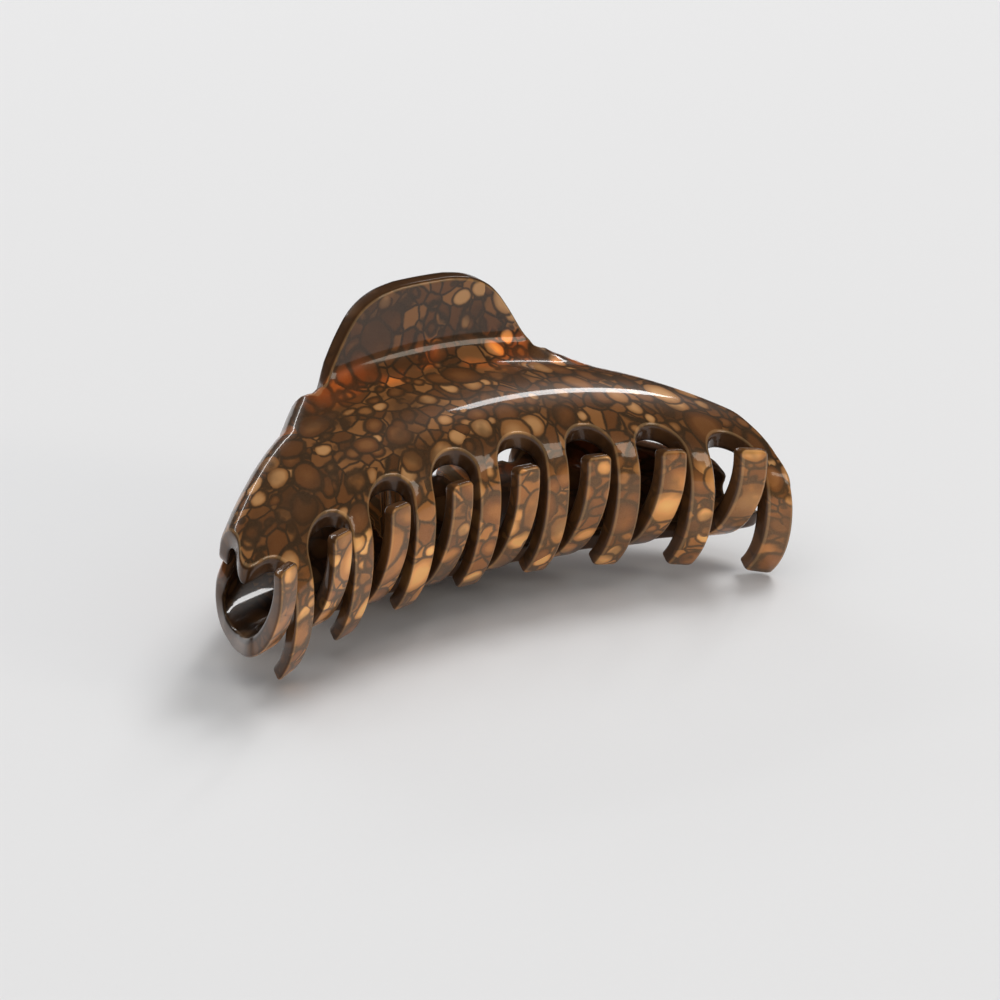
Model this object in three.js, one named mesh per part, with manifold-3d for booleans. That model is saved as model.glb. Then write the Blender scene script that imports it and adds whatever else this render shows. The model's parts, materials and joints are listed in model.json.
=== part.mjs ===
// A large claw clip lying on its side: two equal moulded jaws, a hinge pin and a torsion spring.
// Millimetres, +Z up. X runs along the hinge, the teeth point towards -Y, the thumb tabs towards +Y.
//
// Each jaw is a plate laid out flat and then bent. A point of the plate has three coordinates:
//   x  along the hinge,
//   v  the way over the outer face, from the thumb tab's lip (0) to the tooth tips,
//   n  the height over the outer face (negative inside the wall).
// The bent profile is drawn in a plane of s (from the hinge towards the teeth) and t (from the clip's
// middle plane out through the jaw).

import * as THREE from 'three';
import { mergeVertices } from 'three/addons/utils/BufferGeometryUtils.js';
import Module from 'manifold-3d';

const wasm = await Module();
wasm.setup();

// ---- driving dimensions ----

const TOOTH_PITCH = 10.8;
const TEETH = 8;
const TOOTH_WIDTH = 3.7;
const SLOT_WIDTH = 7.1;
const WALL = 2.5;
const TIP_WALL = 2.0;
const SLOT_TOP = 28.6;              // v of the arched slots' upper ends
const SLOT_RISE = 0.001;            // how much earlier they start towards +X, times x squared
const CORNER_V = 27.4;              // v of the shell's free corner beside the first tooth
const CORNER_WIDTH = 42.9;          // half width there
const CORNER_DEPTH = 4.2;           // from the corner on to where the first tooth's edge runs straight

const LIP = { s: -6.3, t: 21.9, heading: -76 };   // the profile's first point, in mm and degrees
const PROFILE = [                   // arcs of the outer face: length in mm, turn in degrees
  { length: 7.8, turn: 8 },         // thumb tab
  { length: 6.5, turn: 84 },        // valley over the hinge
  { length: 4.9, turn: -9 },        // crown
  { length: 5.8, turn: -15 },
  { length: 4.1, turn: -27 },       // shoulder, down to the slots' tops
  { length: 8.2, turn: -36 },       // teeth
  { length: 6.4, turn: -18 },
  { length: 8.4, turn: -28 },
];
const JAW_LENGTH = PROFILE.reduce((sum, arc) => sum + arc.length, 0);

// The ends of a jaw reach further out than its middle (s) and droop (t), in proportion to x squared.
// The factor changes from the shell's to the tips' over the teeth's length.
const TEETH_V = 29.1;
const BOW_S = { shell: 0.0054, tips: 0.0058 };
const BOW_T = { shell: -0.0028, tips: -0.0007 };

// Beside the thumb tab the shell's back curls down towards the other jaw, like the side of a barrel.
const BACK_V = 8.8;                 // v of the curled back edge
const CURL_X = { from: 16.5, full: 18.8 };        // x where the curl sets in
const CURL_RADIUS = 4.2;
const CURL_LENGTH = 10.6;           // over the curl, from its top to the back edge
const CURL_HEADING = 98;            // of the curl's lower part, in degrees
const CURL_TOP = { x: 16, span: 24, v: 11, slope: 7, bend: 5 };   // v of the curl's top over x

// Half widths of the plate over v. A notch parts the thumb tab's root from the curled back.
const NOTCH = { v: 10.9, x: 18.5, bottom: 1 };
const TAB_SIDE = [[0, 6.5], [2.2, 11.2], [5.2, 13.6], [8.2, 15.6], [10, 17.2], [NOTCH.v, NOTCH.x - NOTCH.bottom / 2]];
const NOTCH_SIDE = [[BACK_V, 22], [9.5, 20.5], [10.3, 19.5], [NOTCH.v, NOTCH.x + NOTCH.bottom / 2]];
const CORNER_SIDE = [[BACK_V, 41.2], [18, 41.3], [22.5, 41.8], [25.9, 43.2], [CORNER_V, CORNER_WIDTH]];
const TOOTH_SIDE = [[BACK_V, 38.4], [16, 38.6], [23.5, 40.3], [31, 42.35]];
const BACK_CORNER = { x: 3, v: 3.4 };             // rounding where the back edge meets either side

const EAR_RADIUS = 3.4;
const EAR_TOP = 10.9;               // inside the wall over the hinge
const EAR_ROOT = [-2.2, 8.0];       // the ear's root on the wall, from and to, in s
const EAR_HEEL = [-4.3, 12.7];      // its end inside the thumb tab's root, in s and t
const EARS = [[-10.8, -7.9], [4.7, 7.6]];
const PIN_RADIUS = 1.0;
const PIN_HEAD_RADIUS = 1.9;
const PIN_HEAD = 0.8;
const GAP = 0.3;

const WIRE_RADIUS = 0.55;
const COIL_RADIUS = 2.6;
const COIL_HALF_LENGTH = 3.2;
const COIL_TURNS = 5;
const LEG_LENGTH = 19.5;
const LEG_LEAN = 18.4;              // degrees that each leg leans back from the middle plane's normal

// ---- the bending rule ----

const rad = THREE.MathUtils.degToRad;

function profileAt(v) {
  let { s, t } = LIP;
  let heading = rad(LIP.heading);
  let left = v;
  for (const [i, arc] of PROFILE.entries()) {
    const last = i === PROFILE.length - 1;
    const step = last ? left : Math.min(left, arc.length);
    const bend = rad(arc.turn) / arc.length;
    const next = heading + bend * step;
    s += (Math.sin(next) - Math.sin(heading)) / bend;
    t -= (Math.cos(next) - Math.cos(heading)) / bend;
    heading = next;
    left -= step;
    if (left <= 0) break;
  }
  return { s, t, heading };
}

// The profile beside the thumb tab: the same as far as the curl's top, and from there the curl.
function curledAt(x, v) {
  const { clamp } = THREE.MathUtils;
  const u = clamp((Math.abs(x) - CURL_TOP.x) / CURL_TOP.span, 0, 1.2);
  const topV = CURL_TOP.v + CURL_TOP.slope * u + CURL_TOP.bend * u * u;
  if (v >= topV) return profileAt(v);
  const top = profileAt(topV);
  const length = CURL_LENGTH * (topV - v) / (topV - BACK_V);
  const turned = Math.min(length, CURL_RADIUS * (rad(CURL_HEADING) - top.heading));
  const straight = length - turned;
  const heading = top.heading + turned / CURL_RADIUS;
  return {
    s: top.s - CURL_RADIUS * (Math.sin(heading) - Math.sin(top.heading)) - straight * Math.cos(heading),
    t: top.t + CURL_RADIUS * (Math.cos(heading) - Math.cos(top.heading)) - straight * Math.sin(heading),
    heading,
  };
}

function shapeAt(x, v) {
  const { lerp, smoothstep } = THREE.MathUtils;
  const share = smoothstep(Math.abs(x), CURL_X.from, CURL_X.full);
  const plain = profileAt(v);
  if (share === 0) return plain;
  const curled = curledAt(x, v);
  return {
    s: lerp(plain.s, curled.s, share),
    t: lerp(plain.t, curled.t, share),
    heading: lerp(plain.heading, curled.heading, share),
  };
}

function bent(x, v, n) {
  const { s, t, heading } = shapeAt(x, v);
  const k = THREE.MathUtils.clamp((v - TEETH_V) / (JAW_LENGTH - TEETH_V), 0, 1);
  const out = THREE.MathUtils.lerp(BOW_S.shell, BOW_S.tips, k) * x * x;
  const droop = THREE.MathUtils.lerp(BOW_T.shell, BOW_T.tips, k) * x * x;
  return new THREE.Vector3(
    x,
    -(s + out - n * Math.sin(heading)),
    t + droop + n * Math.cos(heading),
  );
}

// ---- solids ----

function solid(geometry) {
  const bare = geometry.index ? geometry.toNonIndexed() : geometry;
  bare.deleteAttribute('normal');
  bare.deleteAttribute('uv');
  const merged = mergeVertices(bare);
  return new wasm.Manifold(new wasm.Mesh({
    numProp: 3,
    vertProperties: new Float32Array(merged.attributes.position.array),
    triVerts: new Uint32Array(merged.index.array),
  }));
}

function geometryOf(manifold) {
  const mesh = manifold.getMesh();
  const geometry = new THREE.BufferGeometry();
  geometry.setAttribute('position', new THREE.BufferAttribute(mesh.vertProperties, 3));
  geometry.setIndex(new THREE.BufferAttribute(mesh.triVerts, 1));
  geometry.computeVertexNormals();
  return geometry;
}

// A plate bent from rows of { v, xs, outer, inner }, in order of v: v runs towards -Y. Every row has
// one x for each column, or null where the plate does not reach.
function bentPlate(rows) {
  const columns = rows[0].xs.length;
  const corners = [];
  for (const side of ['outer', 'inner']) {
    for (const row of rows) {
      for (const x of row.xs) corners.push(...bent(x ?? 0, row.v, row[side]));
    }
  }
  const isCell = (i, j) => [rows[i], rows[i + 1]].every((row) => (
    Number.isFinite(row?.xs[j]) && Number.isFinite(row?.xs[j + 1])
  ));
  const triangles = [];
  const quad = (a, b, c, d) => triangles.push(a, b, c, a, c, d);
  const under = rows.length * columns;
  for (let i = 0; i < rows.length - 1; i++) {
    for (let j = 0; j < columns - 1; j++) {
      if (!isCell(i, j)) continue;
      const a = i * columns + j;
      const [b, c, d] = [a + 1, a + columns + 1, a + columns];
      quad(a, d, c, b);
      quad(under + a, under + b, under + c, under + d);
      if (!isCell(i - 1, j)) quad(a, b, under + b, under + a);
      if (!isCell(i, j + 1)) quad(b, c, under + c, under + b);
      if (!isCell(i + 1, j)) quad(c, d, under + d, under + c);
      if (!isCell(i, j - 1)) quad(d, a, under + a, under + d);
    }
  }
  const geometry = new THREE.BufferGeometry();
  geometry.setAttribute('position', new THREE.Float32BufferAttribute(corners, 3));
  geometry.setIndex(triangles);
  return solid(geometry);
}

// The map from a drawing of (s, t) to the jaw: s runs along -Y, t along Z, and the depth along -X.
const PROFILE_PLANE = new THREE.Matrix4().makeBasis(
  new THREE.Vector3(0, -1, 0),
  new THREE.Vector3(0, 0, 1),
  new THREE.Vector3(-1, 0, 0),
);

// ---- the jaw ----

function outline(points) {
  return new THREE.SplineCurve(points.map(([v, width]) => new THREE.Vector2(v, width)));
}

// Half width at v on one side of the plate.
function halfWidth(curve, v) {
  const points = curve.getPoints(120);
  const i = points.findIndex((point) => point.x >= v);
  if (i < 0) return points.at(-1).y;
  if (i === 0) return points[0].y;
  const [a, b] = [points[i - 1], points[i]];
  return THREE.MathUtils.lerp(a.y, b.y, (v - a.x) / (b.x - a.x));
}

// The free end beside the first tooth: from the corner in to the tooth's edge, as a quarter ellipse.
function cornerEdge(v, toothEdge) {
  const k = THREE.MathUtils.clamp(1 - (v - CORNER_V) / CORNER_DEPTH, 0, 1);
  return toothEdge + (CORNER_WIDTH - toothEdge) * (1 - Math.sqrt(1 - k * k));
}

// The rounding of a back corner: how far it falls short of the side.
function backCorner(v) {
  const k = THREE.MathUtils.clamp(1 - (v - BACK_V) / BACK_CORNER.v, 0, 1);
  return BACK_CORNER.x * (1 - Math.sqrt(1 - k * k));
}

// Evenly spaced numbers after the first, up to and with the last.
function spread(from, to, count) {
  return Array.from({ length: count }, (_, i) => from + (to - from) * (i + 1) / count);
}

function shell() {
  const tabSide = outline(TAB_SIDE);
  const notchSide = outline(NOTCH_SIDE);
  const rightSide = outline(TOOTH_SIDE);
  const leftSide = outline(CORNER_SIDE);
  const firstToothEdge = (TEETH - 1.5) * TOOTH_PITCH / 2 + TOOTH_WIDTH / 2;
  const tabColumns = 11;
  const sideColumns = 6;
  const mirrored = (xs) => xs.map((x) => (x === null ? null : -x)).reverse();
  const stationsV = [0, 0.8, 2.2, 4.2, 6.2, 7.6, BACK_V, 9, 9.4, 9.9, 10.4, NOTCH.v, 11.6, 12.3, 13.1, 14,
    15, 16.2, 17.6, 19, 20.5, 22, 23.4, 24.7, 26, 27.4, 27.6, 28.2, 29.2, 30.4, 31.6, 34, 36.5, 39,
    41.5, 44, 46.5, 49, JAW_LENGTH];
  const rows = stationsV.map((v) => {
    const root = halfWidth(tabSide, v);
    const beside = halfWidth(notchSide, v);
    const left = v <= CORNER_V ? halfWidth(leftSide, v) - backCorner(v) : cornerEdge(v, firstToothEdge);
    const right = halfWidth(rightSide, v) - backCorner(v);
    const wing = (end) => [
      v < NOTCH.v ? null : NOTCH.x,
      ...(v < BACK_V ? new Array(sideColumns + 1).fill(null) : [beside, ...spread(beside, end, sideColumns)]),
    ];
    const taper = THREE.MathUtils.smoothstep(v, TEETH_V + 10, JAW_LENGTH);
    return {
      v,
      xs: [...mirrored(wing(left)), -root, ...spread(-root, root, tabColumns), ...wing(right)],
      outer: 0,
      inner: -THREE.MathUtils.lerp(WALL, TIP_WALL, taper),
    };
  });
  return bentPlate(rows);
}

// A cutter for the slot between two teeth: a round upper end, then parallel sides past the tips.
function slotCutter(centre) {
  const radius = SLOT_WIDTH / 2;
  const top = SLOT_TOP - SLOT_RISE * Math.max(0, centre) ** 2;
  const spare = 1.5;
  const rows = [];
  const add = (v, half) => rows.push({
    v,
    xs: [centre - half, centre, centre + half],
    outer: spare,
    inner: -WALL - spare,
  });
  for (const angle of [8, 22, 38, 54, 72]) {
    add(top + radius * (1 - Math.cos(rad(angle))), radius * Math.sin(rad(angle)));
  }
  const straight = JAW_LENGTH + spare - top - radius;
  const steps = 7;
  for (let i = 0; i <= steps; i++) {
    add(top + radius + straight * i / steps, radius);
  }
  return bentPlate(rows);
}

function ear([from, to]) {
  const shape = new THREE.Shape();
  shape.moveTo(EAR_RADIUS, 0);
  shape.lineTo(EAR_ROOT[1], EAR_TOP);
  shape.lineTo(EAR_ROOT[0], EAR_TOP);
  shape.lineTo(...EAR_HEEL);
  shape.lineTo(-EAR_RADIUS, 0);
  shape.absarc(0, 0, EAR_RADIUS, Math.PI, 2 * Math.PI);
  const geometry = new THREE.ExtrudeGeometry(shape, {
    depth: to - from,
    bevelEnabled: false,
    curveSegments: 12,
  });
  geometry.applyMatrix4(PROFILE_PLANE);
  geometry.translate(to, 0, 0);
  return solid(geometry);
}

function pinHole() {
  const length = 40;
  const geometry = new THREE.CylinderGeometry(PIN_RADIUS + GAP, PIN_RADIUS + GAP, length, 20);
  geometry.rotateZ(Math.PI / 2);
  return solid(geometry);
}

function jawGeometry() {
  let body = shell();
  for (let i = 0; i < TEETH - 1; i++) {
    body = body.subtract(slotCutter((i - TEETH / 2 + 1.25) * TOOTH_PITCH));
  }
  for (const span of EARS) {
    body = body.add(ear(span));
  }
  return geometryOf(body.subtract(pinHole()));
}

// ---- the pin and the spring ----

function pinGeometry() {
  const inner = -EARS[0][0] + GAP;
  const outer = inner + PIN_HEAD;
  const profile = [
    [0, -outer], [PIN_HEAD_RADIUS, -outer], [PIN_HEAD_RADIUS, -inner], [PIN_RADIUS, -inner],
    [PIN_RADIUS, inner], [PIN_HEAD_RADIUS, inner], [PIN_HEAD_RADIUS, outer], [0, outer],
  ].map(([radius, height]) => new THREE.Vector2(radius, height));
  const geometry = new THREE.LatheGeometry(profile, 20);
  geometry.rotateZ(-Math.PI / 2);
  return geometryOf(solid(geometry));
}

// The wire: up-jaw leg, coil, low-jaw leg. Both legs lean back behind the thumb tabs.
function springPath() {
  const stepsPerTurn = 14;
  const start = Math.PI + rad(LEG_LEAN);
  const sweep = 2 * Math.PI * COIL_TURNS - 2 * rad(LEG_LEAN);
  const steps = Math.round(stepsPerTurn * sweep / (2 * Math.PI));
  const lean = new THREE.Vector3(0, Math.sin(rad(LEG_LEAN)), Math.cos(rad(LEG_LEAN)));
  const coil = [];
  for (let i = 0; i <= steps; i++) {
    const angle = start + sweep * i / steps;
    coil.push(new THREE.Vector3(
      THREE.MathUtils.lerp(-COIL_HALF_LENGTH, COIL_HALF_LENGTH, i / steps),
      -COIL_RADIUS * Math.cos(angle),
      COIL_RADIUS * Math.sin(angle),
    ));
  }
  const upLeg = [1, 0.66, 0.33].map((k) => coil[0].clone().addScaledVector(lean, LEG_LENGTH * k));
  const down = lean.clone().setZ(-lean.z);
  const downLeg = [0.33, 0.66, 1].map((k) => coil.at(-1).clone().addScaledVector(down, LEG_LENGTH * k));
  return new THREE.CatmullRomCurve3([...upLeg, ...coil, ...downLeg]);
}

function springGeometry() {
  const section = new THREE.Shape();
  section.absarc(0, 0, WIRE_RADIUS, 0, 2 * Math.PI);
  const geometry = new THREE.ExtrudeGeometry(section, {
    steps: 110,
    curveSegments: 8,
    extrudePath: springPath(),
  });
  return geometryOf(solid(geometry));
}

// ---- the assembly ----

function part(name, geometry, color, roughness, metalness) {
  const mesh = new THREE.Mesh(geometry, new THREE.MeshStandardMaterial({ color, roughness, metalness }));
  mesh.name = name;
  return mesh;
}

const jaw = jawGeometry();
const upperJaw = part('upper_jaw', jaw, 0x6b4223, 0.2, 0.1);
const lowerJaw = part('lower_jaw', jaw, 0x6b4223, 0.2, 0.1);
lowerJaw.rotation.y = Math.PI;
const hingePin = part('hinge_pin', pinGeometry(), 0xb8b8bc, 0.3, 1);
const torsionSpring = part('torsion_spring', springGeometry(), 0xa8a8ac, 0.35, 1);

// The clip is built about the hinge axis, then leant until both ends of it rest on the floor.
const clip = new THREE.Group();
clip.add(upperJaw, lowerJaw, hingePin, torsionSpring);

function lowestZ(mesh, isWanted) {
  const position = mesh.geometry.attributes.position;
  const point = new THREE.Vector3();
  let lowest = Infinity;
  for (let i = 0; i < position.count; i++) {
    point.fromBufferAttribute(position, i);
    if (!isWanted(point)) continue;
    lowest = Math.min(lowest, point.applyMatrix4(mesh.matrixWorld).z);
  }
  return lowest;
}

// Lean at which the low jaw's thumb tab and the up jaw's outer tooth tips touch one level.
function restingLean() {
  let [low, high] = [0, Math.PI / 4];
  for (let i = 0; i < 40; i++) {
    const lean = (low + high) / 2;
    clip.rotation.x = lean;
    clip.updateMatrixWorld(true);
    const tips = lowestZ(upperJaw, (point) => point.y < 0);
    const tab = lowestZ(lowerJaw, (point) => point.y > 0);
    if (tips > tab) low = lean;
    else high = lean;
  }
  return (low + high) / 2;
}

clip.rotation.x = restingLean();
clip.updateMatrixWorld(true);
const box = new THREE.Box3().setFromObject(clip, true);
clip.position.set(0, -(box.min.y + box.max.y) / 2, -box.min.z);

const clawClip = new THREE.Group();
clawClip.add(clip);
export default clawClip;
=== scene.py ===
# A large tortoiseshell claw clip lying on a pale floor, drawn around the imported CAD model.
# Shapes are worked out in millimetres about the hinge axis and set down in the frame in metres.

import json
import math

import bmesh
import bpy
import numpy as np
from mathutils import Matrix, Vector
from mathutils.geometry import delaunay_2d_cdt


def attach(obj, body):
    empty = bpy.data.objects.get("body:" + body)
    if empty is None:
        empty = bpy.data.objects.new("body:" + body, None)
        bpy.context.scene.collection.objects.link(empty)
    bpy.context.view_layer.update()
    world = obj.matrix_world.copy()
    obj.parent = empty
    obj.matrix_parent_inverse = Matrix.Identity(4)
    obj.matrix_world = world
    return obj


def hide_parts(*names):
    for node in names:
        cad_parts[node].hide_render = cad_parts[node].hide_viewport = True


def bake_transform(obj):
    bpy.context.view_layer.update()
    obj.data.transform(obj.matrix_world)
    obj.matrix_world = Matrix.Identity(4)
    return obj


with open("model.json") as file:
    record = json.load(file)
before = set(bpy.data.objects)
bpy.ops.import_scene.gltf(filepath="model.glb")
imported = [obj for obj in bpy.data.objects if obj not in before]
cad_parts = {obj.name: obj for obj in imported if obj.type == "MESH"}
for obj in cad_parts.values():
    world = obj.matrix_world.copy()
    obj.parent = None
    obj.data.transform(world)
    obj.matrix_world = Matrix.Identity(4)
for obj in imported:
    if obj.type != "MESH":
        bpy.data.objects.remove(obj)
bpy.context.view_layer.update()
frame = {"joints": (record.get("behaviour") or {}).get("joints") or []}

MM = 0.001
HINGE = next(j for j in frame["joints"] if j["name"] == "jaw_hinge")
HINGE_AT = Vector(HINGE["pos_m"])
LEAN = math.radians(16.94)          # how far the clip leans forward to rest on its tab and outer teeth
LOWER, UPPER = "lower_side", "upper_side"

# ---- driving dimensions, the same as the CAD model's, in mm ----

TOOTH_PITCH = 10.8
TEETH = 8
TOOTH_WIDTH = 3.7
SLOT_WIDTH = 7.1
WALL = 2.5
TIP_WALL = 2.0
TOOTH_SHIFT = 0.25                  # how far the teeth stand off the middle, as a share of the pitch
SLOT_TOP = 28.6                     # way down the outer face to the slots' arched ends
SLOT_RISE = 0.001                   # how much earlier they start towards +X, times x squared
TEETH_WAY = 29.1                    # where the teeth's bow begins
TAPER_WAY = TEETH_WAY + 10          # where their wall starts to thin
PULL = 1.75                         # how much further down the slots' inner edges are
PULL_IN = (SLOT_TOP - 8, SLOT_TOP - 1)
PULL_OUT = (SLOT_TOP + 4, SLOT_TOP + 12)

LIP = (-6.3, 21.9, -76)             # where the outer face starts: s, t, heading in degrees
PROFILE = [(7.8, 8), (6.5, 84), (4.9, -9), (5.8, -15), (4.1, -27), (8.2, -36), (6.4, -18), (8.4, -28)]
JAW_LENGTH = sum(length for length, turn in PROFILE)
BOW_S = (0.0054, 0.0058)            # how the ends reach forward, at the shell and at the tips
BOW_T = (-0.0028, -0.0007)          # how the ends droop

BACK_WAY = 8.8                      # where the curled back edge is
CURL_X = (16.5, 18.8)               # x over which the curl sets in
CURL_RADIUS = 4.2
CURL_LENGTH = 10.6
CURL_HEADING = math.radians(98)
CURL_TOP = (11, 7, 5)               # way of the curl's top: constant, slope and bend over x,
CURL_TOP_X, CURL_TOP_SPAN = 16, 24  # which is counted from 16 mm in steps of 24 mm
CURL_TOP_LIMIT = 1.2                # and held beyond this many steps

TAB_SIDE = [(4, 0), (7.2, 0.4), (9.7, 1.3), (11.6, 2.7), (13.6, 5.2), (15.6, 8.2), (17.2, 10), (18.5, 11)]
NOTCH_SIDE = [(19.6, 10.3), (20.6, 9.5), (22.3, BACK_WAY)]   # parts the tab's root from the curled back
CORNER_SIDE = [(41.2, 12.4), (41.3, 18), (41.8, 22.5), (43.1, 25.6), (42.9, 27.1), (41.7, 27.9), (39.5, 28.5),
               (38.0, 29.6)]
TOOTH_SIDE = [(38.4, 12.4), (38.6, 16), (40.3, 23.5)]
TOOTH_SIDE_END = 31                 # ways at which the sides reach the outer tooth and the free corner
CORNER_SIDE_END = 31.6
STRAIGHT_WAY = 34                   # from here on both run straight
BACK_CORNER = (3, 3.4)              # rounding where the back edge meets either side, in x and way

EDGE_RADIUS = 0.55                  # rounding of the jaw's edges
TIP_CORNER = 0.9                    # rounding of a tooth's tip, seen from the front

EAR_RADIUS = 3.4
EAR_TOP = 10.9
EAR_ROOT = (-2.2, 8.0)
EAR_HEEL = (-4.3, 12.7)             # s and t of the heel, which reaches further up into the tab's root
EAR_EDGE_RADIUS = 0.5
EARS = [(-10.8, -7.9), (4.7, 7.6)]
PIN_RADIUS = 1.0
PIN_HEAD_RADIUS = 1.9
PIN_HEAD = 0.8
PIN_HEAD_CHAMFER = 0.1
PIN_HEAD_EDGE = 0.3                 # rounding of a head's outer edge
PIN_DIMPLE = [(0.7, 0), (0.45, 0.12), (0.1, 0.14)]   # radius and depth of the mark left by the press
GAP = 0.3
DRILL_LENGTH = 40

WIRE_RADIUS = 0.55
WIRE_END = 0.8                      # the wire's ends are this much thinner
COIL_RADIUS = 2.6
COIL_HALF_LENGTH = 3.2
COIL_TURNS = 5
LEG_LENGTH = 19.5
LEG_LEAN = math.radians(18.4)

# ---- how finely it is drawn ----

OUTLINE_STEP = 0.5                  # in mm
TIP_STEP = 0.4
SHELL_SPACING = 0.8
EAR_SPACING = 1.0
EDGE_STEPS = 5                      # parts of a quarter turn
PIN_SIDES = 48
WIRE_SIDES = 16
WIRE_STEPS = 40                     # per turn of the coil
LEG_STEPS = 24


# ---- the bending rule ----

def profile(way):
    """s, t and heading of the outer face at each way down it."""
    s = np.zeros_like(way)
    t = np.zeros_like(way)
    heading = np.zeros_like(way)
    at_s, at_t, at_heading, begin = LIP[0], LIP[1], math.radians(LIP[2]), 0.0
    for i, (length, turn) in enumerate(PROFILE):
        bend = math.radians(turn) / length
        here = way >= begin if i else np.ones_like(way, bool)
        run = way[here] - begin
        ahead = at_heading + bend * run
        s[here] = at_s + (np.sin(ahead) - math.sin(at_heading)) / bend
        t[here] = at_t - (np.cos(ahead) - math.cos(at_heading)) / bend
        heading[here] = ahead
        end = at_heading + bend * length
        at_s += (math.sin(end) - math.sin(at_heading)) / bend
        at_t -= (math.cos(end) - math.cos(at_heading)) / bend
        at_heading = end
        begin += length
    return s, t, heading


def smoothstep(value, start, end):
    k = np.clip((value - start) / (end - start), 0, 1)
    return k * k * (3 - 2 * k)


def curled(x, way):
    """s, t and heading beside the thumb tab, where the shell's back curls down like a barrel's side."""
    u = np.clip((np.abs(x) - CURL_TOP_X) / CURL_TOP_SPAN, 0, CURL_TOP_LIMIT)
    top_way = CURL_TOP[0] + CURL_TOP[1] * u + CURL_TOP[2] * u * u
    top_s, top_t, top_heading = profile(top_way)
    length = CURL_LENGTH * np.maximum(top_way - way, 0) / (top_way - BACK_WAY)
    turned = np.minimum(length, CURL_RADIUS * (CURL_HEADING - top_heading))
    straight = length - turned
    heading = top_heading + turned / CURL_RADIUS
    s = top_s - CURL_RADIUS * (np.sin(heading) - np.sin(top_heading)) - straight * np.cos(heading)
    t = top_t + CURL_RADIUS * (np.cos(heading) - np.cos(top_heading)) - straight * np.sin(heading)
    plain = way >= top_way
    return [np.where(plain, a, b) for a, b in zip(profile(way), (s, t, heading))]


def bent(x, way, height):
    """Points of the jaw, in mm about the hinge: x along it, -Y to the teeth, +Z out through the jaw."""
    share = smoothstep(np.abs(x), *CURL_X)
    s, t, heading = [a + (b - a) * share for a, b in zip(profile(way), curled(x, way))]
    k = np.clip((way - TEETH_WAY) / (JAW_LENGTH - TEETH_WAY), 0, 1)
    reach = (BOW_S[0] + (BOW_S[1] - BOW_S[0]) * k) * x * x
    droop = (BOW_T[0] + (BOW_T[1] - BOW_T[0]) * k) * x * x
    return np.stack([
        x,
        -(s + reach - height * np.sin(heading)),
        t + droop + height * np.cos(heading),
    ], axis=-1)


def wall_at(way):
    return WALL + (TIP_WALL - WALL) * smoothstep(way, TAPER_WAY, JAW_LENGTH)


def moulded(flat, height):
    """A jaw's point from its flat place. Inside the wall the slots run on down, the way the mould pulls."""
    x, way = flat[:, 0], flat[:, 1]
    near = smoothstep(way, *PULL_IN) * (1 - smoothstep(way, *PULL_OUT))
    return bent(x, way - PULL * near * height / WALL, height)


# ---- flat outlines ----

def line(a, b, step):
    a, b = np.array(a, float), np.array(b, float)
    count = max(1, round(np.linalg.norm(b - a) / step))
    return [a + (b - a) * i / count for i in range(count)]


def arc(centre, radius, start, end, count):
    angles = np.radians(np.linspace(start, end, count, endpoint=False))
    return [np.array([centre[0] + radius * math.cos(a), centre[1] + radius * math.sin(a)]) for a in angles]


def smooth(points, step):
    """A Catmull-Rom curve through points, without the last one."""
    p = [np.array(q, float) for q in points]
    out = []
    for i in range(len(p) - 1):
        before, a, b, after = p[max(i - 1, 0)], p[i], p[i + 1], p[min(i + 2, len(p) - 1)]
        count = max(2, round(np.linalg.norm(b - a) / step))
        for u in np.arange(count) / count:
            out.append(0.5 * (2 * a + (b - before) * u + (2 * before - 5 * a + 4 * b - after) * u ** 2
                              + (3 * a - before - 3 * b + after) * u ** 3))
    return out


def tooth_tip(left, right, step):
    """The way round a tooth's tip, from its right side to its left."""
    r = TIP_CORNER
    end = JAW_LENGTH
    return (
        arc((right - r, end - r), r, 0, 90, 6)
        + line((right - r, end), (left + r, end), step)
        + arc((left + r, end - r), r, 90, 180, 6)
    )


def back_corner(side, start, count=7):
    """Quarter ellipse from the back edge round to the side, in (x, way)."""
    reach, rise = BACK_CORNER
    return [
        (side - reach + reach * math.sin(a), start + rise - rise * math.cos(a))
        for a in np.linspace(0, math.pi / 2, count, endpoint=False)
    ]


def half_back(sides, step):
    """From the middle of the tab's lip round to the side: tab, back edge, back corner, side."""
    points = line((0, 0), TAB_SIDE[0], step)
    points += smooth(TAB_SIDE + NOTCH_SIDE, step)
    points += line(NOTCH_SIDE[-1], (sides[0][0] - BACK_CORNER[0], BACK_WAY), step)
    points += back_corner(sides[0][0], BACK_WAY)
    return points + smooth(sides, step)


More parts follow.
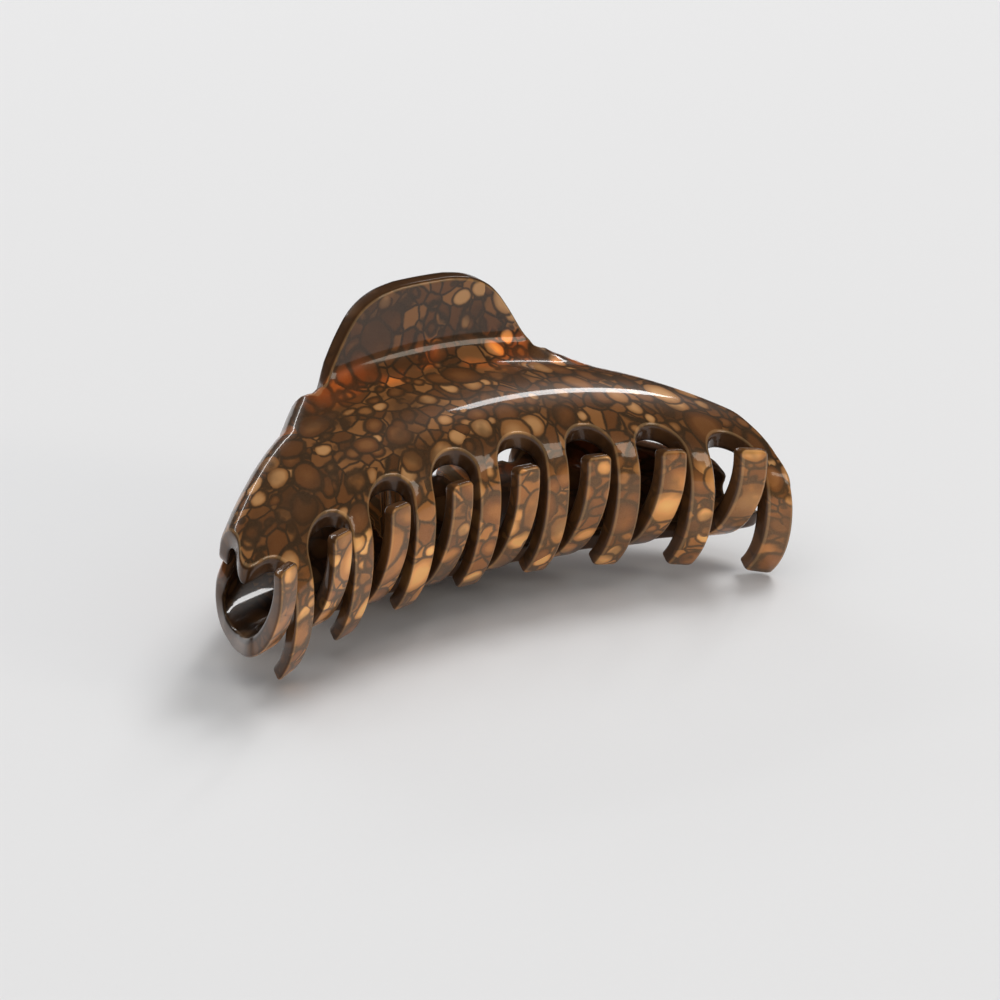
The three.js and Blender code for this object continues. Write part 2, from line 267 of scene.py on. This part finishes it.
def jaw_outline(step):
    """Closed outline in (x, way), right side first. way grows towards the teeth."""
    half = TOOTH_WIDTH / 2
    slot = SLOT_WIDTH / 2
    tip = JAW_LENGTH - TIP_CORNER
    teeth = [(i - (TEETH - 1) / 2 + TOOTH_SHIFT) * TOOTH_PITCH for i in range(TEETH)]
    outer = teeth[-1] + half
    points = half_back(TOOTH_SIDE + [(outer, TOOTH_SIDE_END), (outer, STRAIGHT_WAY)], step)
    points += line((outer, STRAIGHT_WAY), (outer, tip), step)
    for i in reversed(range(TEETH)):
        left, right = teeth[i] - half, teeth[i] + half
        points += tooth_tip(left, right, TIP_STEP)
        if i == 0:
            continue
        centre = teeth[i] - TOOTH_PITCH / 2
        arch = SLOT_TOP - SLOT_RISE * max(0, centre) ** 2 + slot
        points += line((left, tip), (left, arch), step)
        points += arc((centre, arch), slot, 0, -180, 26)
        points += line((centre - slot, arch), (centre - slot, tip), step)
    first = half - teeth[0]
    corner = half_back(CORNER_SIDE + [(first, CORNER_SIDE_END), (first, STRAIGHT_WAY)], step)
    corner += line((first, STRAIGHT_WAY), (first, tip), step)
    corner.append(np.array([first, tip]))
    points += [np.array([-q[0], q[1]]) for q in reversed(corner[1:])]
    return np.array(points)


def ear_outline(step):
    """Closed outline in (s, t) about the hinge."""
    points = arc((0, 0), EAR_RADIUS, 180, 360, 28)
    points += line((EAR_RADIUS, 0), (EAR_ROOT[1], EAR_TOP), step)
    points += line((EAR_ROOT[1], EAR_TOP), (EAR_ROOT[0], EAR_TOP), step)
    points += line((EAR_ROOT[0], EAR_TOP), EAR_HEEL, step)
    points += line(EAR_HEEL, (-EAR_RADIUS, 0), step)
    return np.array(points)


# ---- plates with rounded edges ----

def inward(outline):
    """Unit normals of a closed outline, towards its inside."""
    ahead = np.roll(outline, -1, axis=0) - np.roll(outline, 1, axis=0)
    ahead /= np.linalg.norm(ahead, axis=1)[:, None]
    area = np.sum(outline[:, 0] * np.roll(outline[:, 1], -1) - outline[:, 1] * np.roll(outline[:, 0], -1))
    side = np.stack([-ahead[:, 1], ahead[:, 0]], axis=1)
    return side if area > 0 else -side


def inside(points, loop):
    """Which points lie inside the closed loop."""
    result = np.zeros(len(points), bool)
    for a, b in zip(loop, np.roll(loop, -1, axis=0)):
        if a[1] == b[1]:
            continue
        crosses = (points[:, 1] < a[1]) != (points[:, 1] < b[1])
        at = a[0] + (points[:, 1] - a[1]) * (b[0] - a[0]) / (b[1] - a[1])
        result ^= crosses & (points[:, 0] < at)
    return result


def filled(loop, spacing):
    """Extra points inside the loop and the triangles between them all."""
    low, high = loop.min(axis=0), loop.max(axis=0)
    rows = np.arange(low[1] + spacing / 2, high[1], spacing * math.sqrt(3) / 2)
    grid = np.array([
        (x + (i % 2) * spacing / 2, y)
        for i, y in enumerate(rows)
        for x in np.arange(low[0], high[0], spacing)
    ])
    grid = grid[inside(grid, loop)]
    clear = np.array([np.min(np.sum((loop - g) ** 2, axis=1)) for g in grid]) > (spacing * 0.6) ** 2
    every = [Vector(p) for p in np.concatenate([loop, grid[clear]])]
    edges = [(i, (i + 1) % len(loop)) for i in range(len(loop))]
    points, _, triangles, origin, _, _ = delaunay_2d_cdt(every, edges, [], 1, 1e-6)
    return np.array([p[:] for p in points]), triangles, origin


def edge_rings(outline, top, bottom, radius):
    """Flat places, heights and rim shares of the rings that round a plate's edge, from top to bottom."""
    normals = inward(outline)
    turns = [math.pi / 2 * i / EDGE_STEPS for i in range(EDGE_STEPS + 1)]
    rings = [(radius * (1 - math.cos(a)), -radius * (1 - math.sin(a)), top) for a in reversed(turns)]
    rings += [(radius * (1 - math.cos(a)), radius * (1 - math.sin(a)), bottom) for a in turns]
    flat, height, rim = [], [], []
    for depth, rise, face in rings:
        ring = outline + normals * depth
        flat.append(ring)
        height.append(face(ring[:, 1]) + rise)
        rim.append(np.full(len(outline), 1 - depth / radius))
    return flat, height, rim


def bands(rings, count):
    """Four-cornered faces between closed rings of count points each."""
    faces = []
    for r in range(rings - 1):
        for i in range(count):
            j = (i + 1) % count
            faces.append((r * count + i, r * count + j, (r + 1) * count + j, (r + 1) * count + i))
    return faces


def faces_over(triangles, origin, count, rings, points):
    """Top and bottom faces of a plate, and which of the points inside its loop are new."""
    total = count * rings
    extra = [i for i in range(points) if not any(k < count for k in origin[i])]
    lookup = {}
    for i in range(points):
        on_loop = [k for k in origin[i] if k < count]
        if on_loop:
            lookup[i] = on_loop[0]
    for n, i in enumerate(extra):
        lookup[i] = total + n
    last = (rings - 1) * count
    faces = []
    for tri in triangles:
        faces.append(tuple(lookup[i] for i in reversed(tri)))
        faces.append(tuple(lookup[i] + (last if lookup[i] < count else len(extra)) for i in tri))
    return faces, extra


def solid(name, points, faces):
    """A closed object from points in mm, with its faces turned outwards."""
    mesh = bpy.data.meshes.new(name)
    mesh.from_pydata((points * MM).tolist(), [], faces)
    mesh.update()
    fix = bmesh.new()
    fix.from_mesh(mesh)
    bmesh.ops.recalc_face_normals(fix, faces=fix.faces)
    fix.to_mesh(mesh)
    fix.free()
    obj = bpy.data.objects.new(name, mesh)
    bpy.context.collection.objects.link(obj)
    return obj


def plate(name, outline, top, bottom, radius, spacing, place):
    """A plate with round edges. top and bottom give the faces' heights at flat points; place bends it."""
    flat, height, rim = edge_rings(outline, top, bottom, radius)
    count = len(outline)
    points, triangles, origin = filled(flat[0], spacing)
    caps, extra = faces_over(triangles, origin, count, len(flat), len(points))
    faces = bands(len(flat), count) + caps
    inner = points[extra]
    flat += [inner, inner]
    height += [top(inner[:, 1]), bottom(inner[:, 1])]
    rim.append(np.zeros(2 * len(inner)))
    flat, height, rim = np.concatenate(flat), np.concatenate(height), np.concatenate(rim)
    obj = solid(name, place(flat, height), faces)
    where = obj.data.attributes.new("flat", "FLOAT_VECTOR", "POINT")
    where.data.foreach_set("vector", np.column_stack([flat, height]).astype(np.float32).ravel())
    edge = obj.data.attributes.new("rim", "FLOAT", "POINT")
    edge.data.foreach_set("value", rim.astype(np.float32))
    return obj


# ---- pieces ----

def jaw_shell(name):
    return plate(
        name,
        jaw_outline(OUTLINE_STEP),
        lambda way: np.zeros_like(way),
        lambda way: -wall_at(way),
        EDGE_RADIUS,
        SHELL_SPACING,
        moulded,
    )


def ear(name, span):
    middle = sum(span) / 2
    half = (span[1] - span[0]) / 2
    return plate(
        name,
        ear_outline(OUTLINE_STEP),
        lambda t: np.full_like(t, half),
        lambda t: np.full_like(t, -half),
        EAR_EDGE_RADIUS,
        EAR_SPACING,
        lambda flat, height: np.stack([middle + height, -flat[:, 0], flat[:, 1]], axis=-1),
    )


def drill(name):
    """The cutter for the pin's holes, along the hinge."""
    bpy.ops.mesh.primitive_cylinder_add(
        vertices=PIN_SIDES,
        radius=(PIN_RADIUS + GAP) * MM,
        depth=DRILL_LENGTH * MM,
        rotation=(0, math.pi / 2, 0),
    )
    tool = bpy.context.object
    tool.name = name
    return tool


def combine(obj, tool, operation):
    """Joins tool to obj or cuts it away, then drops it."""
    step = obj.modifiers.new("combine", "BOOLEAN")
    step.operation = operation
    step.solver = "EXACT"
    step.object = tool
    graph = bpy.context.evaluated_depsgraph_get()
    made = bpy.data.meshes.new_from_object(obj.evaluated_get(graph))
    obj.modifiers.clear()
    obj.data = made
    bpy.data.objects.remove(tool)


def set_down(obj, turn=0.0):
    """From mm about the hinge, with the clip level, to its leaning place in the frame."""
    place = Matrix.Translation(HINGE_AT) @ Matrix.Rotation(LEAN, 4, "X") @ Matrix.Rotation(turn, 4, "Y")
    obj.data.transform(place)
    obj.data.update()


def jaw(name, node, body, turn, material):
    """A shell and its two ears, drilled for the pin. turn brings the lower jaw round."""
    obj = jaw_shell(name)
    for i, span in enumerate(EARS):
        combine(obj, ear(f"ear_{i}", span), "UNION")
    combine(obj, drill("drill"), "DIFFERENCE")
    set_down(obj, turn)
    obj.data.polygons.foreach_set("use_smooth", [True] * len(obj.data.polygons))
    obj.data.set_sharp_from_angle(angle=math.radians(50))
    obj.data.materials.clear()
    obj.data.materials.append(material)
    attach(obj, body)
    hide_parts(node)


# ---- the pin and the spring ----

def from_grid(name, rings):
    """A closed tube of point rings in mm, with fans over its two ends."""
    count = len(rings[0])
    points = np.concatenate([*rings, [np.mean(rings[0], axis=0)], [np.mean(rings[-1], axis=0)]])
    faces = bands(len(rings), count)
    first, last = len(points) - 2, len(points) - 1
    end = (len(rings) - 1) * count
    for i in range(count):
        j = (i + 1) % count
        faces.append((first, j, i))
        faces.append((last, end + i, end + j))
    obj = solid(name, points, faces)
    obj.data.polygons.foreach_set("use_smooth", [True] * len(obj.data.polygons))
    obj.data.set_sharp_from_angle(angle=math.radians(40))
    return obj


def hinge_pin(material):
    """A drawn pin with a set head at each end."""
    inner = -EARS[0][0] + GAP
    outer = inner + PIN_HEAD
    head = PIN_HEAD_RADIUS
    edge = PIN_HEAD_EDGE
    half = [(PIN_RADIUS, 0), (PIN_RADIUS, inner), (head - PIN_HEAD_CHAMFER, inner)]
    half += [(head, inner + PIN_HEAD_CHAMFER), (head, outer - edge)]
    half += [(head - edge + edge * math.cos(a), outer - edge + edge * math.sin(a))
             for a in np.radians([18, 36, 54, 72, 90])]
    half += [(radius, outer - depth) for radius, depth in PIN_DIMPLE]
    whole = [(r, -x) for r, x in reversed(half[1:])] + half
    angles = np.linspace(0, 2 * math.pi, PIN_SIDES, endpoint=False)
    rings = [
        np.stack([np.full_like(angles, x), r * np.cos(angles), r * np.sin(angles)], axis=-1)
        for r, x in whole
    ]
    obj = from_grid("hinge_pin_drawn", rings)
    set_down(obj)
    obj.data.materials.append(material)
    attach(obj, LOWER)
    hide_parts("hinge_pin")


def spring_path():
    """The middle line of the wire: up-jaw leg, coil, low-jaw leg, with the legs' ends at rest."""
    sweep = 2 * math.pi * COIL_TURNS - 2 * LEG_LEAN
    angle = math.pi + LEG_LEAN + np.linspace(0, sweep, WIRE_STEPS * COIL_TURNS)
    coil = np.stack([
        np.linspace(-COIL_HALF_LENGTH, COIL_HALF_LENGTH, len(angle)),
        -COIL_RADIUS * np.cos(angle),
        COIL_RADIUS * np.sin(angle),
    ], axis=-1)
    lean = np.array([0, math.sin(LEG_LEAN), math.cos(LEG_LEAN)])
    down = lean * (1, 1, -1)
    way = np.linspace(1, 0, LEG_STEPS, endpoint=False)[:, None] * LEG_LENGTH
    return np.concatenate([coil[0] + lean * way, coil, (coil[-1] + down * way)[::-1]])


def torsion_spring(material):
    """Wire round the path, set down and baked into place in the frame."""
    path = spring_path()
    ahead = np.gradient(path, axis=0)
    ahead /= np.linalg.norm(ahead, axis=1)[:, None]
    side = np.array([1.0, 0, 0])
    angles = np.linspace(0, 2 * math.pi, WIRE_SIDES, endpoint=False)
    rings = []
    for i, (point, along) in enumerate(zip(path, ahead)):
        side = side - along * np.dot(side, along)
        side /= np.linalg.norm(side)
        up = np.cross(along, side)
        from_end = min(i, len(path) - 1 - i)
        radius = WIRE_RADIUS * (WIRE_END if from_end == 0 else 1)
        rings.append(point + radius * (np.cos(angles)[:, None] * side + np.sin(angles)[:, None] * up))
    obj = from_grid("torsion_spring_wire", rings)
    set_down(obj)
    obj.data.materials.append(material)
    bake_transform(obj)
    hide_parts("torsion_spring")


# ---- materials ----

class Graph:
    """Short ways to write a shader."""

    def __init__(self, name):
        self.material = bpy.data.materials.new(name)
        self.material.use_nodes = True
        self.tree = self.material.node_tree
        self.shader = self.tree.nodes["Principled BSDF"]

    def put(self, socket, value):
        if isinstance(value, bpy.types.NodeSocket):
            self.tree.links.new(value, socket)
        else:
            socket.default_value = value

    def math(self, operation, a, b=0.0):
        node = self.tree.nodes.new("ShaderNodeMath")
        node.operation = operation
        self.put(node.inputs[0], a)
        self.put(node.inputs[1], b)
        return node.outputs[0]

    def scaled(self, value, factor, shift):
        """value times factor plus shift."""
        return self.math("ADD", self.math("MULTIPLY", value, factor), shift)

    def vector(self, operation, a, b):
        node = self.tree.nodes.new("ShaderNodeVectorMath")
        node.operation = operation
        self.put(node.inputs[0], a)
        self.put(node.inputs["Scale"] if operation == "SCALE" else node.inputs[1], b)
        return node.outputs[0]

    def attribute(self, name, output):
        node = self.tree.nodes.new("ShaderNodeAttribute")
        node.attribute_name = name
        return node.outputs[output]

    def place(self):
        """The point on the object, in metres."""
        return self.tree.nodes.new("ShaderNodeTexCoord").outputs["Object"]

    def noise(self, where, scale, detail, output="Fac"):
        node = self.tree.nodes.new("ShaderNodeTexNoise")
        self.put(node.inputs["Vector"], where)
        node.inputs["Scale"].default_value = scale
        node.inputs["Detail"].default_value = detail
        return node.outputs[output]

    def voronoi(self, where, scale, feature="F1"):
        node = self.tree.nodes.new("ShaderNodeTexVoronoi")
        node.feature = feature
        self.put(node.inputs["Vector"], where)
        node.inputs["Scale"].default_value = scale
        return node.outputs

    def split(self, value, parts):
        """The three parts of a value: parts is Color or XYZ."""
        node = self.tree.nodes.new("ShaderNodeSeparate" + parts)
        self.put(node.inputs[0], value)
        return node.outputs

    def tinted(self, color, tint):
        """A colour with each of its channels made stronger."""
        node = self.tree.nodes.new("ShaderNodeMix")
        node.data_type = "RGBA"
        node.blend_type = "MULTIPLY"
        node.inputs[0].default_value = 1.0
        self.put(node.inputs[6], color)
        node.inputs[7].default_value = (*tint, 1)
        return node.outputs[2]

    def ramp(self, value, stops):
        node = self.tree.nodes.new("ShaderNodeValToRGB")
        self.put(node.inputs[0], value)
        elements = node.color_ramp.elements
        while len(elements) < len(stops):
            elements.new(0.5)
        for element, (place, color) in zip(elements, stops):
            element.position = place
            element.color = (*color, 1)
        return node.outputs[0]

    def mix(self, share, a, b):
        """From colour a to colour b."""
        node = self.tree.nodes.new("ShaderNodeMix")
        node.data_type = "RGBA"
        self.put(node.inputs[0], share)
        self.put(node.inputs[6], a)
        self.put(node.inputs[7], b)
        return node.outputs[2]

    def partly(self, share, most, a, b):
        """From colour a towards colour b, no further than the share called most."""
        return self.mix(self.math("MULTIPLY", share, most), a, b)

    def step(self, value, start, end):
        """Smooth from 0 at start to 1 at end."""
        node = self.tree.nodes.new("ShaderNodeMapRange")
        node.interpolation_type = "SMOOTHSTEP"
        self.put(node.inputs["Value"], value)
        self.put(node.inputs["From Min"], start)
        self.put(node.inputs["From Max"], end)
        return node.outputs[0]


DARK = (0.014, 0.006, 0.003, 1)
BROWNS = [(0.0, (0.034, 0.009, 0.002)), (0.35, (0.13, 0.04, 0.009)), (0.65, (0.3, 0.12, 0.034)),
          (1.0, (0.6, 0.31, 0.12))]
PAINTED_AMBER_GLOW = (4.2, 2.3, 0.8)             # how much stronger the painted amber glow in the valley makes red, green and blue: painted light bounced between tab and crown
PAINTED_TEETH_LIGHT = (2.75, 2.6, 2.05)            # the same for the painted highlight that turns the teeth golden
CLOUD = (0.032, 0.011, 0.004, 1)
SPECK = (0.42, 0.25, 0.12, 1)
PAINTED_EDGE_HIGHLIGHT = (0.75, 0.45, 0.2, 1)         # painted highlight along the rounded edges
PAINTED_SIDE_SHADE = (0.045, 0.015, 0.005, 1)      # painted shade on the wall's narrow sides
PAINTED_INNER_SHADE = (0.02, 0.009, 0.004, 1)    # painted shade on the inner face
WARPS = [(0.11, 1.0, 3.2), (0.7, 2.0, 0.45)]   # noise that bends the pattern: scale, detail, reach in mm
CRACKLE = 2.4                       # size of the small cells between the bubbles, in mm
VEIN = (0.02, 0.12)                 # distances from a cell's border, as shares of its size
# size of each bubble layer in mm, smallest and largest radius and share left out
BUBBLES = [(2.9, 0.32, 0.52, 0.08), (4.4, 0.32, 0.5, 0.15), (6.8, 0.3, 0.5, 0.2), (10.5, 0.26, 0.46, 0.3),
           (15, 0.22, 0.34, 0.35)]
BUBBLE_RIM = (0.07, 0.34)           # distances from a bubble's edge over which its dark line fades, in mm
VALLEY_IN = (7.0, 10.5)             # ways over which the painted glow in the valley sets in and fades, in mm
VALLEY_OUT = (15.0, 11.5)
PAINTED_TEETH_LIGHT_WAY = (30.0, 38.0)           # ways over which the painted highlight turns the teeth golden, in mm
INNER_FACE = (-1.6, -2.1)           # heights over which the painted shade on the inner face sets in, in mm


def warped(graph, where):
    moved = where
    for scale, detail, reach in WARPS:
        push = graph.vector("SUBTRACT", graph.noise(where, scale, detail, "Color"), (0.5, 0.5, 0.5))
        moved = graph.vector("ADD", moved, graph.vector("SCALE", push, reach))
    return moved


def crackle(graph, where):
    """Small cells with dark veins between them."""
    chance = graph.split(graph.voronoi(where, 1 / CRACKLE)["Color"], "Color")
    edge = graph.voronoi(where, 1 / CRACKLE, "DISTANCE_TO_EDGE")["Distance"]
    color = graph.ramp(graph.scaled(chance[0], 0.55, 0.14), BROWNS)
    return graph.mix(graph.math("SUBTRACT", 1.0, graph.step(edge, *VEIN)), color, DARK)


def bubble_layer(graph, where, size, smallest, largest, absent, color):
    """Round cells of one size over color: some are absent, each has its own radius, tone and dark rim."""
    cells = graph.voronoi(where, 1 / size)
    chance = graph.split(cells["Color"], "Color")
    radius = graph.scaled(chance[0], largest - smallest, smallest)
    radius = graph.math("MULTIPLY", radius, graph.math("GREATER_THAN", chance[1], absent))
    depth = graph.math("MULTIPLY", graph.math("SUBTRACT", radius, cells["Distance"]), size)
    tone = graph.scaled(chance[2], 0.7, 0.02)
    paler_middle = graph.math("MULTIPLY", graph.step(depth, 0.0, 0.25 * size), 0.33)
    tone = graph.math("ADD", tone, paler_middle)
    color = graph.mix(graph.step(depth, -0.05, 0.1), color, graph.ramp(tone, BROWNS))
    away = graph.math("ABSOLUTE", depth)
    line = graph.math("SUBTRACT", 1.0, graph.step(away, *BUBBLE_RIM))
    line = graph.math("MULTIPLY", line, graph.math("GREATER_THAN", radius, 0.01))
    return graph.partly(line, 0.9, color, DARK)


# Painted light: an amber glow laid into the valley's colour, standing for light bounced between the tab and
# the crown.
def painted_valley_glow(graph, where, way, color):
    valley = graph.math("MULTIPLY", graph.step(way, *VALLEY_IN), graph.step(way, *VALLEY_OUT))
    patches = graph.step(graph.noise(where, 0.16, 2.0), 0.42, 0.6)
    glow = graph.math("MULTIPLY", valley, patches)
    return graph.partly(glow, 0.8, color, graph.tinted(color, PAINTED_AMBER_GLOW))


def tortoiseshell(name, offset):
    """Bronze bubbles with dark veins under a clear gloss, drawn over the moulding's flat shape in mm."""
    graph = Graph(name)
    flat = graph.attribute("flat", "Vector")
    rim = graph.attribute("rim", "Fac")
    way, height = graph.split(flat, "XYZ")[1:3]
    where = warped(graph, graph.vector("ADD", flat, offset))
    color = crackle(graph, where)
    for size, smallest, largest, absent in BUBBLES:
        color = bubble_layer(graph, where, size, smallest, largest, absent, color)
    clouds = graph.step(graph.noise(where, 0.13, 3.0), 0.46, 0.64)
    color = graph.partly(clouds, 0.66, color, CLOUD)
    color = painted_valley_glow(graph, where, way, color)
    color = graph.partly(graph.noise(where, 9.0, 2.0), 0.22, color, SPECK)
    # painted highlight: the teeth lighter and golden, as where their front faces catch the light
    color = graph.partly(graph.step(way, *PAINTED_TEETH_LIGHT_WAY), 0.85, color, graph.tinted(color, PAINTED_TEETH_LIGHT))
    # painted highlight on the rounded edges, where the gloss catches the light
    color = graph.partly(graph.step(rim, 0.02, 0.25), 0.22, color, PAINTED_EDGE_HIGHLIGHT)
    # painted shade: the narrow side walls darkened
    color = graph.partly(graph.step(rim, 0.5, 0.8), 0.85, color, PAINTED_SIDE_SHADE)
    # painted shade: the inner face, under the shell, darkened
    color = graph.partly(graph.step(height, *INNER_FACE), 0.72, color, PAINTED_INNER_SHADE)
    graph.put(graph.shader.inputs["Base Color"], color)
    graph.shader.inputs["Metallic"].default_value = 0.2
    graph.shader.inputs["Roughness"].default_value = 0.34
    graph.shader.inputs["Specular IOR Level"].default_value = 0.2
    graph.shader.inputs["Coat Weight"].default_value = 0.6
    graph.shader.inputs["Coat Roughness"].default_value = 0.04
    graph.shader.inputs["Coat IOR"].default_value = 1.5
    return graph.material


def steel(name, tone, scratches):
    """Bright metal with a fine grain of scratches per metre along each axis."""
    graph = Graph(name)
    grain = graph.noise(graph.vector("MULTIPLY", graph.place(), scratches), 1.0, 3.0)
    light = graph.ramp(grain, [(0.3, tuple(0.75 * c for c in tone)), (0.7, tone)])
    graph.put(graph.shader.inputs["Base Color"], light)
    graph.put(graph.shader.inputs["Roughness"], graph.scaled(grain, 0.15, 0.17))
    graph.shader.inputs["Metallic"].default_value = 1.0
    return graph.material


def paper(name, tone):
    """A matt ground with a barely visible grain."""
    graph = Graph(name)
    grain = graph.noise(graph.place(), 900.0, 2.0)
    color = graph.ramp(grain, [(0.0, tuple(0.99 * c for c in tone)), (1.0, tone)])
    graph.put(graph.shader.inputs["Base Color"], color)
    graph.shader.inputs["Roughness"].default_value = 0.9
    graph.shader.inputs["Specular IOR Level"].default_value = 0.1
    return graph.material


# ---- stage ----

LENS = 134.07                       # focal length in mm on a 36 mm wide sensor
SENSOR = 36
CAMERA_AZIMUTH, CAMERA_ELEVATION, CAMERA_ROLL = (math.radians(a) for a in (-36.464, 22.34, 2.888))
CAMERA_AIM = Vector((3.452, -5.675, 14.887)) * MM
CAMERA_DISTANCE = 496.9 * MM
CENTRE = (0, 0, 0.02)               # what the lights point at


def facing(azimuth, elevation):
    """Direction at azimuth (0 from -Y, towards +X) and elevation, in radians."""
    return Vector((
        math.sin(azimuth) * math.cos(elevation),
        -math.cos(azimuth) * math.cos(elevation),
        math.sin(elevation),
    ))


def camera():
    data = bpy.data.cameras.new("camera")
    data.lens = LENS
    data.sensor_width = SENSOR
    data.clip_end = 20
    cam = bpy.data.objects.new("camera", data)
    bpy.context.collection.objects.link(cam)
    back = facing(CAMERA_AZIMUTH, CAMERA_ELEVATION)
    turn = (-back).to_track_quat("-Z", "Y").to_matrix().to_4x4()
    roll = Matrix.Rotation(CAMERA_ROLL, 4, "Z")
    cam.matrix_world = Matrix.Translation(CAMERA_AIM + back * CAMERA_DISTANCE) @ turn @ roll
    bpy.context.scene.camera = cam


def softbox(name, place, size, power, color=(1, 1, 1)):
    """A rectangular light of size in metres and power in watts, pointed at the clip."""
    data = bpy.data.lights.new(name, "AREA")
    data.shape = "RECTANGLE"
    data.size, data.size_y = size
    data.energy = power
    data.color = color
    light = bpy.data.objects.new(name, data)
    bpy.context.collection.objects.link(light)
    light.location = place
    light.rotation_mode = "QUATERNION"
    light.rotation_quaternion = (Vector(CENTRE) - Vector(place)).to_track_quat("-Z", "Y")


def sun(name, azimuth, elevation, strength, spread):
    """A far, soft light that is not mirrored in the gloss. Its angles and its spread are in degrees."""
    data = bpy.data.lights.new(name, "SUN")
    data.energy = strength
    data.angle = math.radians(spread)
    light = bpy.data.objects.new(name, data)
    bpy.context.collection.objects.link(light)
    light.visible_glossy = False
    towards = facing(math.radians(azimuth), math.radians(elevation))
    light.rotation_mode = "QUATERNION"
    light.rotation_quaternion = (-towards).to_track_quat("-Z", "Y")


def studio():
    """A pale floor, an even sky that is not mirrored, and five lights."""
    bpy.ops.mesh.primitive_plane_add(size=8)
    floor = bpy.context.object
    floor.name = "floor"
    floor.data.materials.append(paper("floor_paper", (0.75, 0.75, 0.755)))
    world = bpy.data.worlds.new("studio")
    bpy.context.scene.world = world
    world.use_nodes = True
    sky = world.node_tree.nodes["Background"].inputs
    sky["Color"].default_value = (1, 1, 1, 1)
    sky["Strength"].default_value = 0.4
    world.cycles_visibility.glossy = False
    sun("key", 105, 60, 1.15, 26)
    sun("fill", -70, 68, 0.75, 60)
    softbox("right_strip", (0.75, 0.5, 0.75), (0.06, 0.5), 1.1)
    softbox("front_fill", (0.5, -0.8, 0.45), (0.25, 0.25), 1.0, (1, 0.9, 0.76))
    softbox("back_strip", (0.0, 0.9, 0.45), (0.7, 0.05), 0.9)
    bpy.context.scene.view_settings.view_transform = "Standard"


jaw("upper_jaw_moulding", "upper_jaw", UPPER, 0.0, tortoiseshell("tortoiseshell_upper", (0, 0, 0)))
jaw("lower_jaw_moulding", "lower_jaw", LOWER, math.pi, tortoiseshell("tortoiseshell_lower", (113, 57, 29)))
hinge_pin(steel("drawn_steel", (0.62, 0.61, 0.6), (120, 2500, 2500)))
torsion_spring(steel("spring_wire", (0.5, 0.5, 0.51), (1500, 1500, 1500)))
camera()
studio()
